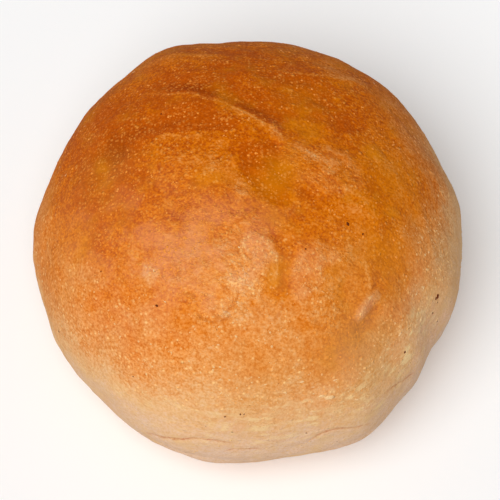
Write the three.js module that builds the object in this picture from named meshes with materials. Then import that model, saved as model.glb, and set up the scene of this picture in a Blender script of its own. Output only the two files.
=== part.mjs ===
// A plain round bread roll with a thin, softly wrinkled crust, resting on its flat baked foot.
// Millimetres, +Z up. The origin is on the surface that the roll stands on, under its middle.
// +X is the roll's right side and +Y its back, as it lies in front of a viewer.
//
// The whole crust is one closed surface around the roll's heart, a point on the axis at the height
// of its widest ring. In each direction from the heart the surface lies at its own distance: that
// of a full, slightly oval dome over a tucked-under flank, plus the swells of the rim, the soft
// folds of the crust and a gentle unevenness. The tray cuts the underside off flat.

import * as THREE from "three";
import { mergeVertices } from "three/addons/utils/BufferGeometryUtils.js";

// Driving dimensions
const ACROSS = 92; // the oval's short axis, near enough side to side
const LENGTH = 94; // the oval's long axis
const LONG_AXIS_BEARING = 95; // degrees, counted from +X towards +Y, as all bearings are
const HEIGHT = 60;
const WAIST_HEIGHT = 23; // of the widest ring, and so of the heart
const HEART_X = 0; // where the heart stands, so that the whole roll is centred over the origin
const HEART_Y = -0.15;
const UNDER_DEPTH = 36; // how far below the heart the flank's curve would close without a tray
const DOME_FULLNESS = 2.12; // 2 is an ellipse, and more is squarer
const FLANK_FULLNESS = 2.1;
const FOOT_ROUNDING = 3; // how high the flank starts to curve into the flat foot

// Swells and flats of the rim, as [bearing, half width in degrees, outward swell in mm].
const RIM_SWELLS = [
  [12, 10, 0.9],
  [30, 12, -0.55],
  [55, 14, 0.4],
  [86, 17, 0.15],
  [114, 11, 2.75],
  [148, 15, 0.95],
  [178, 13, 1.35],
  [224, 13, -0.8],
  [258, 8, 0.35],
  [280, 8, -0.5],
  [301, 9, 1.7],
  [330, 8, -1.6],
];

// Folds of the crust. Each runs along an arc through three points, given as [bearing, reach],
// where reach is the angle at the heart away from straight up. It stands lift mm proud of the
// crust, or sinks where lift is negative, and falls away within left mm and right mm on the two
// sides of someone who walks along it.
const FOLDS = [
  { path: [[136, 52], [112, 28], [45, 16]], lift: 0.75, left: 1.8, right: 5 },
  { path: [[140, 58], [118, 36], [60, 26]], lift: -0.45, left: 4, right: 3 },
  { path: [[160, 42], [143, 25], [95, 12]], lift: 0.55, left: 2, right: 6 },
  { path: [[52, 15], [14, 20], [9, 33]], lift: 0.7, left: 2, right: 6 },
  { path: [[9, 33], [343, 40], [319, 51]], lift: 0.5, left: 2, right: 6 },
  { path: [[60, 6], [316, 13], [316, 31]], lift: -0.85, left: 4.5, right: 3 },
  { path: [[282, 20], [287, 30], [278, 40]], lift: 0.7, left: 2, right: 8 },
  { path: [[256, 41], [266, 46], [278, 40]], lift: 0.35, left: 5, right: 2 },
  { path: [[317, 50], [313, 52], [308, 54]], lift: 0.5, left: 2, right: 2 },
  { path: [[318, 55], [311, 57], [305, 59]], lift: -0.45, left: 2, right: 2 },
  { path: [[104, 42], [59, 39], [21, 38]], lift: -0.55, left: 4, right: 3 },
  { path: [[124, 66], [106, 51], [88, 47]], lift: 0.4, left: 2, right: 4 },
  { path: [[84, 46], [60, 47], [44, 60]], lift: 0.45, left: 3, right: 2 },
  { path: [[225, 56], [232, 60], [238, 63]], lift: -0.4, left: 3, right: 2 },
  { path: [[236, 100], [255, 95], [272, 101]], lift: -0.35, left: 2.5, right: 2.5 },
  { path: [[286, 101], [300, 96], [322, 100]], lift: -0.4, left: 2.5, right: 2.5 },
  { path: [[330, 98], [20, 104], [60, 98]], lift: -0.35, left: 3, right: 2.5 },
  { path: [[95, 102], [140, 97], [190, 103]], lift: -0.4, left: 3, right: 2.5 },
];
const FOLD_STEPS = 14; // straight stretches that an arc is measured along
const FOLD_SCALE = 45; // mm on the crust for one radian at the heart

// Shallow dents and soft bulges, as [bearing, reach, height in mm, half width in mm].
const DENTS = [
  [161, 44, -0.7, 4],
  [204, 50, -0.5, 4],
  [42, 12, -0.4, 2.5],
  [187, 14, 0.6, 9],
  [237, 57, 0.5, 6],
  [308, 31, 0.5, 6],
  [20, 70, -0.8, 9],
  [75, 80, 0.7, 10],
  [150, 78, -0.8, 11],
];

// The gentle unevenness of the whole crust: a sum of plain waves, each lower and finer than the
// one before, and each running in its own direction.
const WAVE_COUNT = 7;
const FIRST_WAVE_HEIGHT = 0.3;
const FIRST_WAVE_TURNS = 3.1; // radians of wave for each unit of direction
const WAVE_HEIGHT_RATIO = 0.8;
const WAVE_TURNS_RATIO = 1.33;
const GOLDEN_ANGLE = Math.PI * (3 - Math.sqrt(5)); // turns each wave away from the one before

const GRID_CELLS = 28; // along each edge of the cube that is blown up into the roll
const CRUST_COLOUR = 0xc97a2e;

// The unit vector at a bearing and a reach, both in degrees.
function direction(bearing, reach) {
  return new THREE.Vector3().setFromSphericalCoords(
    1,
    THREE.MathUtils.degToRad(reach),
    THREE.MathUtils.degToRad(90 + bearing),
  );
}

// three.js measures spherical coordinates round +Y, so a direction is tipped over to stand on +Z.
function tipped(vector) {
  return new THREE.Vector3(vector.x, -vector.z, vector.y);
}

// Points along the arc through three places on the crust: a quadratic curve whose middle control
// point is set so that the curve passes through the second place, brought back onto the sphere.
function arcThrough(path) {
  const [start, middle, end] = path.map(([bearing, reach]) => tipped(direction(bearing, reach)));
  const control = middle.clone().multiplyScalar(2).addScaledVector(start, -0.5).addScaledVector(end, -0.5);
  const curve = new THREE.QuadraticBezierCurve3(start, control, end);
  return curve.getPoints(FOLD_STEPS).map((point) => point.normalize());
}

const foldArcs = FOLDS.map((fold) => ({ ...fold, points: arcThrough(fold.path) }));

// The lift of one fold: a bell across the arc, with its own width on each side, that dies out
// towards both ends.
function foldLift(fold, toward) {
  const stretch = new THREE.Line3();
  const nearest = new THREE.Vector3();
  const side = new THREE.Vector3();
  let best = Infinity;
  let along = 0;
  let onLeft = true;
  for (let i = 0; i < FOLD_STEPS; i++) {
    stretch.set(fold.points[i], fold.points[i + 1]);
    const share = stretch.closestPointToPointParameter(toward, true);
    const away = stretch.at(share, nearest).distanceTo(toward);
    if (away < best) {
      best = away;
      along = (i + share) / FOLD_STEPS;
      onLeft = side.crossVectors(stretch.start, stretch.end).dot(toward) > 0;
    }
  }
  const width = onLeft ? fold.left : fold.right;
  const across = (best * FOLD_SCALE) / width;
  const fromMiddle = 2 * along - 1;
  return fold.lift * Math.exp(-across * across) * (1 - fromMiddle ** 4);
}

function dentLift([bearing, reach, height, halfWidth], toward) {
  const across = (tipped(direction(bearing, reach)).distanceTo(toward) * FOLD_SCALE) / halfWidth;
  return height * Math.exp(-across * across);
}

function waveLift(toward) {
  let lift = 0;
  let height = FIRST_WAVE_HEIGHT;
  let turns = FIRST_WAVE_TURNS;
  for (let k = 0; k < WAVE_COUNT; k++) {
    const rise = 1 - (2 * k + 1) / WAVE_COUNT; // spreads the directions evenly from pole to pole
    const reach = Math.sqrt(1 - rise * rise);
    const turned = GOLDEN_ANGLE * k;
    const wave = new THREE.Vector3(Math.cos(turned) * reach, Math.sin(turned) * reach, rise);
    lift += height * Math.sin(turns * wave.dot(toward) + GOLDEN_ANGLE * k);
    height *= WAVE_HEIGHT_RATIO;
    turns *= WAVE_TURNS_RATIO;
  }
  return lift;
}

// How far the rim stands out or in at a bearing, in radians.
function rimSwell(bearing) {
  let swell = 0;
  for (const [at, halfWidth, out] of RIM_SWELLS) {
    const away = THREE.MathUtils.radToDeg(bearing) - at;
    const off = THREE.MathUtils.euclideanModulo(away + 180, 360) - 180;
    swell += out * Math.exp(-((off / halfWidth) ** 2));
  }
  return swell;
}

// The distance from the heart to the smooth shell: a superellipse that stands on the plan oval.
function shellDistance(toward) {
  const bearing = Math.atan2(toward.y, toward.x);
  const level = Math.hypot(toward.x, toward.y);
  const turned = bearing - THREE.MathUtils.degToRad(LONG_AXIS_BEARING);
  const oval = 1 / Math.hypot(Math.cos(turned) / (LENGTH / 2), Math.sin(turned) / (ACROSS / 2));
  const plan = oval + rimSwell(bearing) * level * level;
  const above = toward.z >= 0;
  const power = above ? DOME_FULLNESS : FLANK_FULLNESS;
  const upright = above ? HEIGHT - WAIST_HEIGHT : UNDER_DEPTH;
  return ((level / plan) ** power + (Math.abs(toward.z) / upright) ** power) ** (-1 / power);
}

// The flat foot: heights below the tray come up to it, with a rounded turn of FOOT_ROUNDING.
function restedHeight(z) {
  const near = Math.max(FOOT_ROUNDING - Math.abs(z), 0) / FOOT_ROUNDING;
  return Math.max(z, 0) + (near * near * FOOT_ROUNDING) / 4;
}

// The point of the crust in one direction from the heart.
function crustPoint(toward) {
  let distance = shellDistance(toward) + waveLift(toward);
  for (const fold of foldArcs) distance += foldLift(fold, toward);
  for (const dent of DENTS) distance += dentLift(dent, toward);
  const point = new THREE.Vector3(HEART_X, HEART_Y, WAIST_HEIGHT).addScaledVector(toward, distance);
  point.z = restedHeight(point.z);
  return point;
}

// A cube of even cells is blown up: each of its points gives a direction, with the cells' angles
// made even by a tangent, and the direction gives a point of the crust.
function crustGeometry() {
  const cube = new THREE.BoxGeometry(2, 2, 2, GRID_CELLS, GRID_CELLS, GRID_CELLS);
  cube.deleteAttribute("normal");
  cube.deleteAttribute("uv");
  const geometry = mergeVertices(cube);
  const position = geometry.getAttribute("position");
  const evened = (value) => Math.tan((value * Math.PI) / 4);
  for (let i = 0; i < position.count; i++) {
    const corner = new THREE.Vector3().fromBufferAttribute(position, i);
    const toward = new THREE.Vector3(evened(corner.x), evened(corner.y), evened(corner.z));
    const point = crustPoint(toward.normalize());
    position.setXYZ(i, point.x, point.y, point.z);
  }
  geometry.computeVertexNormals();
  return geometry;
}

function breadRoll() {
  const material = new THREE.MeshStandardMaterial({
    color: CRUST_COLOUR,
    roughness: 0.6,
    metalness: 0,
  });
  const crust = new THREE.Mesh(crustGeometry(), material);
  crust.name = "bread_roll";
  const group = new THREE.Group();
  group.add(crust);
  return group;
}

export default breadRoll();
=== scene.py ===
"""Dresses a plain round bread roll: its crust, the blisters, floury flecks and bran specks on the
crust, and a studio.

The crust is one closed surface around the roll's heart, a point on the axis at the height of its
widest ring. A direction from the heart is a bearing, in degrees from +X towards +Y, and a reach,
the angle away from straight up. In each direction the crust lies at its own distance: that of a
full, slightly oval dome over a tucked-under flank, plus swells of the rim, folds, dents, plain
waves, and the fine wrinkles and crumples that only this script adds.
"""

import math
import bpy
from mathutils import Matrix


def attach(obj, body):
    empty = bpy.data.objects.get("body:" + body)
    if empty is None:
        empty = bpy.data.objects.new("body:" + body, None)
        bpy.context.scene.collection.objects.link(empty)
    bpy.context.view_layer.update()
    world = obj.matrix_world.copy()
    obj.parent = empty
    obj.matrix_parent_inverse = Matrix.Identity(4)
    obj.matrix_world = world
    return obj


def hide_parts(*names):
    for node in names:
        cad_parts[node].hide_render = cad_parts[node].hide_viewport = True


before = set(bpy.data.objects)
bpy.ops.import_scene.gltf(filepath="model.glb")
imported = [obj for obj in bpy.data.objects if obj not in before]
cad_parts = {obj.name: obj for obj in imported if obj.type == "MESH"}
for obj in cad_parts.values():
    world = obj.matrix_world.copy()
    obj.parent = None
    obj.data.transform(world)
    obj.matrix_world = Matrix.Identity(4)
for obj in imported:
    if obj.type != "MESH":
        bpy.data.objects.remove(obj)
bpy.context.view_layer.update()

from types import SimpleNamespace
from typing import NamedTuple

import bpy
import numpy as np
from mathutils import Vector

bl_info = {
    "name": "Bread Roll",
    "version": (1, 0, 0),
    "blender": (4, 5, 0),
    "location": "View3D > Sidebar > Bread Roll",
    "description": "Makes the baked crust of a round bread roll and the studio that it is seen in",
    "category": "Add Mesh",
}

MM = 0.001
HEART_Y = -0.15  # mm, where the heart stands along Y

# Swells and flats of the rim: bearing, half width in degrees, outward swell in mm.
RIM_SWELLS = (
    (12, 10, 0.9),
    (30, 12, -0.55),
    (55, 14, 0.4),
    (86, 17, 0.15),
    (114, 11, 2.75),
    (148, 15, 0.95),
    (178, 13, 1.35),
    (224, 13, -0.8),
    (258, 8, 0.35),
    (280, 8, -0.5),
    (301, 9, 1.7),
    (330, 8, -1.6),
)


class Fold(NamedTuple):
    """A fold of the crust. It follows an arc through three (bearing, reach) places, and stands lift
    mm proud of the crust, or sinks where lift is negative. It falls away within left mm and right mm
    on the two sides of someone who walks along it. Along the arc the crust is paler by crest, partly
    a painted highlight, and beside it on the left browner by shade, partly painted shade."""

    path: tuple
    lift: float
    left: float
    right: float
    crest: float = 0.0
    shade: float = 0.0


FOLDS = (
    Fold(((135, 49), (106, 26), (51, 18)), lift=0.36, left=1.9, right=5.0, crest=0.24, shade=0.4),
    Fold(((140, 58), (118, 36), (60, 26)), lift=-0.25, left=4.0, right=3.0, crest=-0.06),
    Fold(((160, 42), (144, 25), (105, 14)), lift=0.2, left=1.7, right=6.0, crest=0.14, shade=0.24),
    Fold(((51, 18), (16, 22), (9, 33)), lift=0.16, left=2.0, right=6.0, crest=0.12, shade=0.08),
    Fold(((9, 33), (343, 40), (319, 51)), lift=0.1, left=2.0, right=6.0, shade=0.1),
    Fold(((81, 9), (322, 10), (316, 27)), lift=-0.4, left=4.5, right=4.0, crest=-0.12),
    Fold(((281, 17), (288, 29), (279, 39)), lift=0.22, left=1.0, right=8.0, crest=0.06, shade=0.2),
    Fold(((256, 41), (266, 46), (278, 40)), lift=0.18, left=4.0, right=1.4),
    Fold(((320, 51), (314, 52), (309, 54)), lift=0.4, left=1.2, right=1.8, crest=0.16),
    Fold(((318, 55), (311, 57), (305, 59)), lift=-0.4, left=1.5, right=1.5, crest=-0.06),
    Fold(((325, 43), (321, 47), (318, 50)), lift=0.2, left=0.9, right=2.4, crest=0.12, shade=0.2),
    Fold(((104, 42), (59, 39), (21, 38)), lift=-0.35, left=4.0, right=3.0, crest=-0.2),
    Fold(((124, 66), (106, 51), (88, 47)), lift=0.28, left=1.6, right=4.0, crest=0.1, shade=0.1),
    Fold(((80, 43), (60, 47), (48, 60)), lift=0.3, left=3.0, right=1.8, crest=0.12),
    Fold(((225, 56), (232, 60), (238, 63)), lift=-0.3, left=3.0, right=1.8, crest=-0.06),
    Fold(((236, 100), (255, 95), (272, 101)), lift=-0.35, left=2.0, right=1.0),
    Fold(((286, 101), (300, 96), (322, 100)), lift=-0.4, left=2.0, right=1.0),
    Fold(((330, 98), (20, 104), (60, 98)), lift=-0.35, left=3.0, right=1.2),
    Fold(((95, 102), (140, 97), (190, 103)), lift=-0.4, left=3.0, right=1.2),
)
FOLD_STEPS = 14  # straight stretches that an arc is measured along
FOLD_SCALE = 45  # mm on the crust for one radian at the heart

# Thin lines in the skin of the crust: path, depth in mm of the crease along it, and how strongly the
# line shows, darker with painted shade where that is above zero and paler with a painted highlight
# where it is below.
CREASES = (
    (((241, 94), (255, 84), (268, 84)), 0.32, 0.7),
    (((264, 88), (269, 87), (274, 88)), 0.28, 0.7),
    (((285, 88), (292, 83), (302, 88)), 0.3, 0.7),
    (((307, 79), (313, 81), (320, 84)), 0.24, 0.7),
    (((20, 99), (34, 95), (47, 101)), 0.3, 0.6),
    (((130, 96), (143, 100), (160, 96)), 0.34, 0.6),
    (((186, 101), (197, 95), (212, 99)), 0.3, 0.6),
    (((266, 22), (262, 25), (266, 27)), 0.14, 0.8),
    (((273, 29), (271, 31), (267, 32)), 0.1, 0.6),
    (((265, 36), (265, 40), (260, 44)), 0.12, 0.7),
    (((260, 45), (255, 46), (250, 45)), 0.12, 0.7),
    (((249, 43), (246, 41), (241, 43)), 0.1, 0.6),
    (((246, 29), (256, 29), (264, 33)), 0.08, 0.5),
    (((282, 38), (283, 43), (276, 46)), 0.08, 0.5),
    (((255, 43), (260, 45), (264, 43)), 0.08, 0.8),
    (((269, 21), (265, 25), (268, 28)), 0.0, -0.6),
    (((288, 29), (286, 32), (282, 35)), 0.0, -0.3),
    (((258, 34), (263, 35), (268, 33)), 0.0, -0.6),
    (((236, 43), (238, 46), (236, 49)), 0.0, -0.35),
    (((135, 49), (106, 26), (51, 18)), 0.0, -0.32),
    (((150, 35), (148, 26), (134, 19)), 0.0, -0.2),
    (((325, 42), (321, 46), (318, 50)), 0.0, -0.35),
    (((353, 29), (352, 32), (351, 35)), 0.0, -0.3),
    (((80, 43), (60, 47), (48, 60)), 0.0, -0.25),
)
CREASE_HALF_WIDTH = 0.55  # mm
LEFT_LIP = 4 * CREASE_HALF_WIDTH  # width of the soft swell beside a crease, half as high as it is deep
RIGHT_LIP = 2 * CREASE_HALF_WIDTH
CREASE_REACH = 1.5  # mm, how far from its middle a line's strength lasts

# Shallow dents and soft bulges: bearing, reach, height in mm, half width in mm.
DENTS = (
    (161, 44, -0.7, 4.0),
    (204, 50, -0.5, 4.0),
    (42, 12, -0.4, 2.5),
    (187, 14, 0.6, 9.0),
    (237, 57, 0.5, 6.0),
    (308, 31, 0.5, 6.0),
    (20, 70, -0.8, 9.0),
    (75, 80, 0.7, 10.0),
    (150, 78, -0.8, 11.0),
)

# The gentle unevenness of the whole crust: plain waves, each lower and finer than the one before.
WAVE_COUNT = 7
FIRST_WAVE_HEIGHT = 0.3  # mm
FIRST_WAVE_TURNS = 3.1  # radians of wave for each unit of direction
WAVE_HEIGHT_RATIO = 0.8
WAVE_TURNS_RATIO = 1.33
GOLDEN_ANGLE = math.pi * (3 - math.sqrt(5))


class Patch(NamedTuple):
    """A patch where the skin of the crust has come up a little, with a ragged edge: its outline
    through (bearing, reach) places, its lift in mm, and half the width in mm over which its edge
    rises. It is browner than what lies round it by tone, and glossier, more finely flaked and pinker
    with painted sheen by the other three, each less so where it is negative."""

    outline: tuple
    lift: float
    edge: float
    tone: float
    gloss: float = 0.0
    flaking: float = 0.0
    bloom: float = 0.0


PATCHES = (
    Patch(
        outline=(
            (267, 5), (284, 16), (280, 20), (286, 26), (289, 29), (282, 33), (278, 37), (272, 41),
            (261, 45), (252, 46), (242, 42), (228, 41), (212, 36), (203, 28), (201, 18), (217, 14),
            (229, 10),
        ),
        lift=0.1, edge=2.4, tone=-0.03, gloss=0.8, flaking=0.8,
    ),
    Patch(
        outline=(
            (264, 23), (270, 20), (278, 21), (284, 23), (288, 29), (284, 31), (280, 34), (280, 36),
            (276, 38), (274, 40), (268, 39), (262, 37), (259, 35), (260, 33), (266, 33), (270, 31),
            (271, 29), (265, 26),
        ),
        lift=0.12, edge=0.7, tone=-0.08, gloss=0.6, flaking=1.0, bloom=0.06,
    ),
    Patch(
        outline=((236, 10), (237, 6), (273, 6), (274, 9), (264, 12), (249, 12)),
        lift=0.06, edge=0.8, tone=-0.04, gloss=0.3, flaking=0.4, bloom=0.08,
    ),
    Patch(
        outline=((241, 33), (250, 32), (255, 36), (256, 42), (254, 44), (248, 42), (242, 39)),
        lift=0.08, edge=0.7, tone=-0.04, gloss=0.4, flaking=0.6, bloom=0.08,
    ),
    Patch(
        outline=((220, 42), (227, 40), (231, 44), (229, 46), (224, 45)),
        lift=0.06, edge=0.7, tone=-0.2, flaking=0.2, bloom=0.1,
    ),
    Patch(
        outline=(
            (98, 10), (66, 11), (37, 9), (3, 11), (338, 14), (319, 17), (305, 14), (290, 9), (263, 5),
            (139, 3),
        ),
        lift=-0.08, edge=1.0, tone=0.24, gloss=-0.2, flaking=-0.3, bloom=-0.1,
    ),
    Patch(
        outline=(
            (303, 26), (311, 29), (313, 31), (320, 35), (316, 37), (310, 37), (305, 39), (301, 41),
            (296, 42), (291, 42), (289, 39), (293, 33), (300, 30),
        ),
        lift=0.1, edge=1.0, tone=-0.06, gloss=0.4, flaking=0.7, bloom=0.1,
    ),
    Patch(
        outline=(
            (70, 21), (40, 17), (24, 27), (16, 34), (358, 36), (350, 31), (346, 23), (350, 15), (40, 13),
        ),
        lift=0.1, edge=1.6, tone=-0.11, gloss=0.25, flaking=1.0, bloom=0.04,
    ),
    Patch(
        outline=((150, 36), (148, 22), (110, 14), (150, 6), (190, 12), (186, 26), (170, 36)),
        lift=0.06, edge=2.0, tone=-0.14, gloss=0.2, flaking=0.5,
    ),
    Patch(
        outline=((320, 51), (320, 53), (316, 54), (311, 55), (308, 55), (307, 53), (310, 51), (314, 51)),
        lift=0.16, edge=0.6, tone=-0.08, gloss=0.3, flaking=0.5, bloom=0.18,
    ),
    Patch(
        outline=((334, 40), (318, 41), (308, 46), (300, 54), (290, 54), (292, 46), (304, 40), (324, 34)),
        lift=0.06, edge=1.4, tone=-0.04, gloss=0.2, flaking=0.7,
    ),
)
PATCH_RAGGEDNESS = 0.9  # how far noise moves the edge of a patch, as a share of the edge's width
PATCH_TEARS = (4.0, 1.7)  # mm, the sizes of that noise

# Places that are browner or paler than the baking alone makes them: bearing, reach, browning added
# on the scale from 0, hardly baked, to 1, deep brown, and half width in mm. Past 1 lies scorched.
TONES = (
    (159, 43, 0.56, 5.5),
    (171, 46, 0.34, 8.0),
    (235, 4, -0.2, 5.0),
    (206, 57, -0.28, 5.0),
    (237, 66, 0.14, 5.0),
    (345, 52, -0.26, 5.0),
    (309, 66, -0.16, 5.0),
    (66, 43, 0.22, 9.0),
    (124, 35, 0.2, 8.0),
    (24, 13, 0.18, 4.0),
    (250, 43, 0.14, 3.5),
    (311, 45, 0.12, 6.0),
    (186, 47, 0.14, 7.0),
    (294, 24, -0.14, 3.0),
    (325, 70, -0.14, 5.0),
    (231, 53, -0.1, 7.0),
    (211, 44, -0.06, 6.0),
    (201, 51, 0.28, 4.5),
    # Painted light: this place is paler to stand in for more light on its slope.
    (32, 24, -0.14, 4.0),
    (48, 13, 0.5, 1.5),
    (350, 50, 0.2, 8.0),
    (334, 49, 0.16, 7.0),
    (340, 21, 0.1, 4.0),
    (340, 27, -0.1, 3.5),
    (100, 34, 0.06, 9.0),
    (322, 58, 0.2, 10.0),
    (300, 60, 0.38, 9.0),
    (272, 62, 0.1, 8.0),
    (150, 64, 0.3, 9.0),
    (180, 58, 0.1, 8.0),
    (60, 52, -0.16, 6.0),
    (2, 58, 0.12, 8.0),
    (262, 26, -0.14, 8.0),
    (180, 62, -0.12, 9.0),
    (268, 44, -0.12, 9.0),
    (285, 37, 0.14, 2.5),
    (302, 42, -0.08, 7.0),
)

# Wider places where the crust is glossier and finely flaked: bearing, reach, strength, half width
# in mm.
GLOSSES = (
    (258, 25, 0.45, 20.0),
    (215, 45, 0.2, 14.0),
)

# Painted sheen: places where a pink cast stands in for the crust's soft highlight: bearing, reach,
# strength and half width in mm.
PAINTED_SHEEN_PLACES = (
    (200, 46, 0.1, 15.0),
    (232, 34, 0.22, 12.0),
    (262, 24, 0.17, 11.0),
    (228, 60, 0.05, 12.0),
    (330, 72, 0.16, 12.0),
    (300, 72, 0.15, 10.0),
    (270, 74, 0.14, 10.0),
)

# Where flour clings to the pale flank in streaks: bearing, reach, strength and half width in mm.
FLOURINGS = (
    (322, 70, 1.0, 9.0),
    (296, 72, 1.0, 11.0),
    (268, 76, 0.6, 12.0),
    (232, 78, 0.35, 12.0),
    (196, 80, 0.35, 14.0),
    (20, 84, 0.35, 20.0),
    (100, 88, 0.4, 24.0),
)

# Places where the crust is a yellower brown: bearing, reach, strength and half width in mm.
TAWNIES = (
    (330, 9, 0.5, 6.0),
    (287, 31, 0.5, 3.0),
    (12, 12, 0.4, 4.0),
    (5, 44, 0.4, 8.0),
    (60, 34, 0.3, 6.0),
    (333, 48, 0.5, 7.0),
    (172, 46, 0.3, 7.0),
    (283, 36, 0.35, 3.0),
)

# Places where half browned crust is a duller yellow, partly its own colour and partly painted shade:
# bearing, reach, strength and half width in mm.
DUN_AND_SHADE_PLACES = (
    (305, 62, 0.5, 10.0),
    (338, 68, 0.3, 9.0),
    (272, 66, 0.3, 9.0),
    (302, 80, 0.2, 9.0),
    (318, 40, 0.12, 7.0),
    (194, 62, 0.15, 9.0),
)

# Bran and char specks that lie where they do on the roll: bearing, reach, length in mm.
BRAN_SPECKS = (
    (235, 48, 0.7),
    (336, 71.5, 1.3),
    (335.2, 71.3, 0.8),
    (335, 73, 0.7),
    (332, 74, 0.6),
    (333, 80, 0.5),
    (333, 34, 0.9),
    (333, 39, 0.6),
    (305, 30, 0.45),
    (208, 84, 0.7),
    (317, 72, 0.65),
    (264, 72, 0.6),
    (268, 71, 0.55),
    (269, 71, 0.4),
    (139, 36, 0.55),
    (285, 82, 0.5),
    (266, 78, 0.5),
    (210, 53, 0.5),
    (237, 70, 0.4),
)

# Floury flecks that lie where they do on the roll: bearing, reach, length in mm.
FLOUR_FLECKS = (
    (333, 79, 1.1),
    (327, 70, 2.0),
    (324, 69, 1.2),
    (318, 66, 1.3),
    (302, 67, 0.7),
    (292, 70, 2.4),
    (290, 69, 1.5),
    (302, 78, 0.6),
    (299, 74, 1.2),
    (287, 73, 1.4),
    (286, 76, 0.6),
    (277, 81, 0.7),
    (272, 74, 0.9),
    (269, 73, 0.7),
    (312, 80, 0.8),
    (309, 70, 1.2),
    (264, 25, 0.8),
    (263, 34, 0.5),
    (226, 41, 0.7),
    (237, 46, 0.6),
    (260, 52, 0.7),
)


def display_colour(red, green, blue):
    """The scene-linear colour of a shade that a display shows with these levels from 0 to 255."""
    levels = np.array([red, green, blue]) / 255
    linear = np.where(levels <= 0.04045, levels / 12.92, ((levels + 0.055) / 1.055) ** 2.4)
    return tuple(float(value) for value in linear)


def colour_property(name, description, default):
    """A colour that a user can change, given by its display levels."""
    return bpy.props.FloatVectorProperty(
        name=name,
        description=description,
        default=display_colour(*default),
        subtype="COLOR",
        size=3,
        min=0,
        max=1,
    )


def length_property(name, description, default):
    """A length in metres that a user can change."""
    return bpy.props.FloatProperty(
        name=name,
        description=description,
        default=default,
        unit="LENGTH",
        min=0,
        precision=5,
    )


def angle_property(name, description, degrees):
    """An angle that a user can change."""
    return bpy.props.FloatProperty(
        name=name,
        description=description,
        default=math.radians(degrees),
        subtype="ANGLE",
    )


def number_property(name, description, default, low=0.0, high=10.0, unit="NONE"):
    """A number that a user can change between two limits."""
    return bpy.props.FloatProperty(
        name=name,
        description=description,
        default=default,
        min=low,
        max=high,
        unit=unit,
    )


def count_property(name, description, default):
    """A number of pieces that a user can change."""
    return bpy.props.IntProperty(name=name, description=description, default=default, min=0)


class RollSizes(bpy.types.PropertyGroup):
    """Sizes of the roll and of the relief on its crust."""

    across: length_property("Across", "Short axis of the roll's oval, near enough side to side", 92 * MM)
    length: length_property("Length", "Long axis of the roll's oval", 94 * MM)
    height: length_property("Height", "Height of the smooth dome over the foot", 60 * MM)
    waist_height: length_property("Waist height", "Height of the widest ring and of the heart", 23 * MM)
    under_depth: length_property("Under depth", "Depth at which the flank alone would close", 36 * MM)
    foot_rounding: length_property("Foot rounding", "Height of the turn into the foot", 3 * MM)
    long_axis_bearing: angle_property("Long axis", "Bearing of the oval's long axis", 95)
    dome_fullness: number_property(
        "Dome fullness", "Power of the dome's curve, where 2 is an ellipse and more is squarer", 2.12, 1.5, 4
    )
    flank_fullness: number_property(
        "Flank fullness", "Power of the curve below the widest ring", 2.1, 1.5, 4
    )
    crumple_height: length_property("Crumple height", "Height of the crust's uneven crumpling", 0.26 * MM)
    wrinkle_height: length_property("Wrinkle height", "Height of the finest wrinkles", 0.1 * MM)
    wrinkle_count: count_property("Wrinkles", "Number of fine wrinkles over the dome", 90)
    blister_count: count_property("Blisters", "Number of raised blisters that stand on the crust", 2600)
    stray_flour_count: count_property("Stray flour", "Number of small floury flecks on the flank", 90)
    stray_bran_count: count_property("Stray bran", "Number of small bran specks all over the roll", 46)


class CrustColours(bpy.types.PropertyGroup):
    """Colours of the crust, from the pale flank to the brown top, and of what lies on it."""

    pale: colour_property("Pale", "Crust that has hardly browned, low on the flank", (228, 194, 170))
    straw: colour_property("Straw", "Crust that has just begun to brown", (232, 181, 128))
    golden: colour_property("Golden", "Half browned crust", (232, 151, 80))
    brown: colour_property("Brown", "Well browned crust on the dome", (226, 119, 3))
    deep: colour_property("Deep", "Dark crust, in folds on the back of the dome", (199, 88, 2))
    scorched: colour_property("Scorched", "The few places that baked darker than the rest", (158, 58, 0))
    wheaten: colour_property("Wheaten", "Yellower places on the pale flank", (230, 186, 130))
    # A duller yellow, partly the crust's own colour and partly painted shade.
    dun: colour_property("Dun", "Duller yellow of half browned crust", (196, 152, 86))
    tawny: colour_property("Tawny", "Yellower brown of places that dried before they browned", (214, 128, 8))
    blister: colour_property("Blister", "Thin dry skin of a blister", (240, 148, 58))
    flake: colour_property("Flake", "Dry flakes and grains on half browned crust", (250, 174, 100))
    # Painted sheen: a pink cast that stands in for the crust's soft highlight.
    bloom: colour_property("Bloom", "Dull pink cast of crust under a breath of flour", (236, 163, 124))
    # Painted shade in the hollows between the finest grains.
    shade: colour_property("Shade", "How hollows between the finest grains dim the crust", (217, 194, 144))
    # Glints are painted highlights.
    glint: colour_property("Glint", "Pale points of skin on half browned crust", (255, 203, 134))
    skin_glint: colour_property("Brown glint", "Pale points of skin on brown crust", (246, 164, 74))
    # Painted shade in thin creases.
    crease_shade: colour_property("Crevice", "Thin creases where the skin has sunk", (186, 92, 30))
    flour: colour_property("Flour", "Floury streaks on the flank", (240, 206, 150))
    bran: colour_property("Bran", "Bran and char specks", (100, 44, 18))
    sheen: colour_property("Sheen", "Tint of reflections in the crust's thin baked glaze", (255, 194, 72))


class StudioSettings(bpy.types.PropertyGroup):
    """The camera, the light and the floor."""

    camera_elevation: angle_property("Camera elevation", "Height of the camera over the horizon", 64)
    camera_distance: length_property("Camera distance", "From the camera to what it looks at", 450 * MM)
    lens: number_property("Lens", "Focal length in mm on a 36 mm sensor", 149.35, 1, 1000, unit="CAMERA")
    key_strength: number_property("Key light", "Strength of the one large soft light", 2.73)
    fill_strength: number_property("Fill light", "Strength of the light from all round", 0.28)
    floor: colour_property("Floor", "Colour of the floor", (250, 250, 250))


# The form


def unit(vectors):
    """The vectors brought to length one."""
    return vectors / np.linalg.norm(vectors, axis=1, keepdims=True)


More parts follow.
